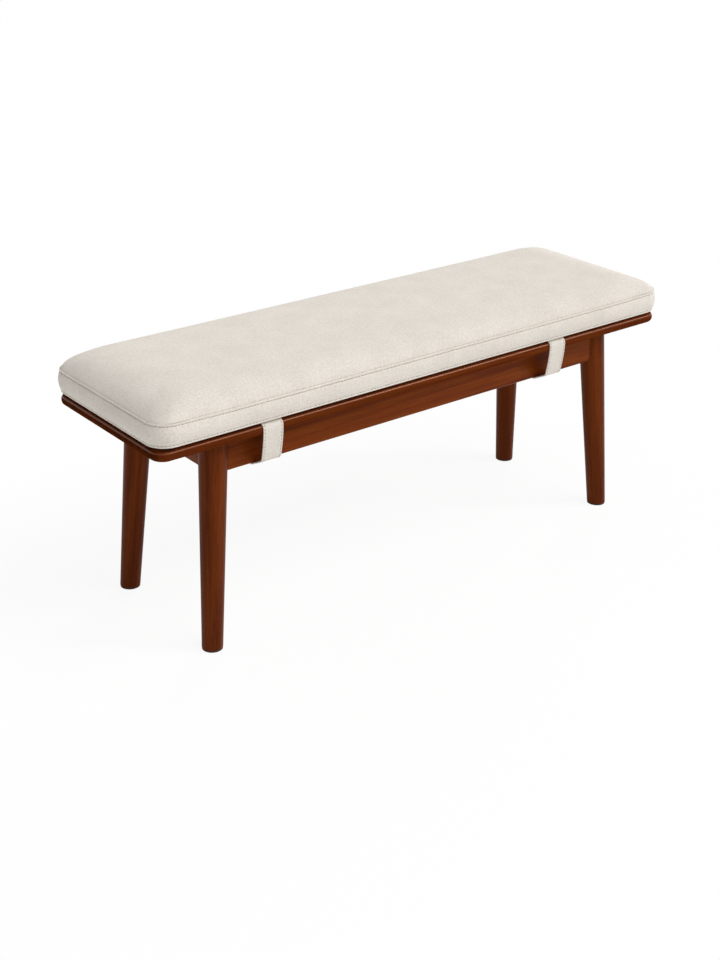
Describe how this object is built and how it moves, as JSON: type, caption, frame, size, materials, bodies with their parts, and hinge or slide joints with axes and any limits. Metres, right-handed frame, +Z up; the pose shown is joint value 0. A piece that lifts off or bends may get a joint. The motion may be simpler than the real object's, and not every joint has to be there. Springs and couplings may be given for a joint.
{
  "type": "cushioned bench",
  "caption": "Low wooden bench with splayed round tapered legs, jointed aprons under a thin round-cornered seat board, and a thick boxed seat cushion held down by cloth straps.",
  "frame": {"origin": "on the floor under the middle of the bench", "axes": "+Z up, +X along the bench's length to the right as seen from its front, -Y towards its front"},
  "size_m": [1.1108, 0.3328, 0.4555],
  "materials": {
    "stained_wood": "red-brown stain under satin lacquer",
    "inner_wood": "planed and left bare",
    "screw_steel": "zinc plated",
    "felt": "pressed wool felt",
    "woven_cloth": "oatmeal plain weave, topstitched",
    "foam": "cut foam block",
    "loop_tape": "brushed loop pile",
    "hook_tape": "woven nylon hooks"
  },
  "bodies": {
    "root": {"seat_board": "stained_wood", "front_apron": "stained_wood", "back_apron": "stained_wood", "left_end_apron": "stained_wood", "right_end_apron": "stained_wood", "cross_rail": "inner_wood", "front_left_leg": "stained_wood", "front_right_leg": "stained_wood", "back_left_leg": "stained_wood", "back_right_leg": "stained_wood", "front_left_foot_pad": "felt", "front_right_foot_pad": "felt", "back_left_foot_pad": "felt", "back_right_foot_pad": "felt", "front_left_corner_block": "inner_wood", "front_right_corner_block": "inner_wood", "back_left_corner_block": "inner_wood", "back_right_corner_block": "inner_wood", "corner_block_screws": "screw_steel", "seat_board_screws": "screw_steel", "cushion_cover": "woven_cloth", "cushion_foam": "foam", "cushion_base_cloth": "woven_cloth", "front_left_strap": "woven_cloth", "front_right_strap": "woven_cloth", "back_left_strap": "woven_cloth", "back_right_strap": "woven_cloth", "strap_loop_tapes": "loop_tape", "strap_hook_tapes": "hook_tape"}
  },
  "joints": []
}
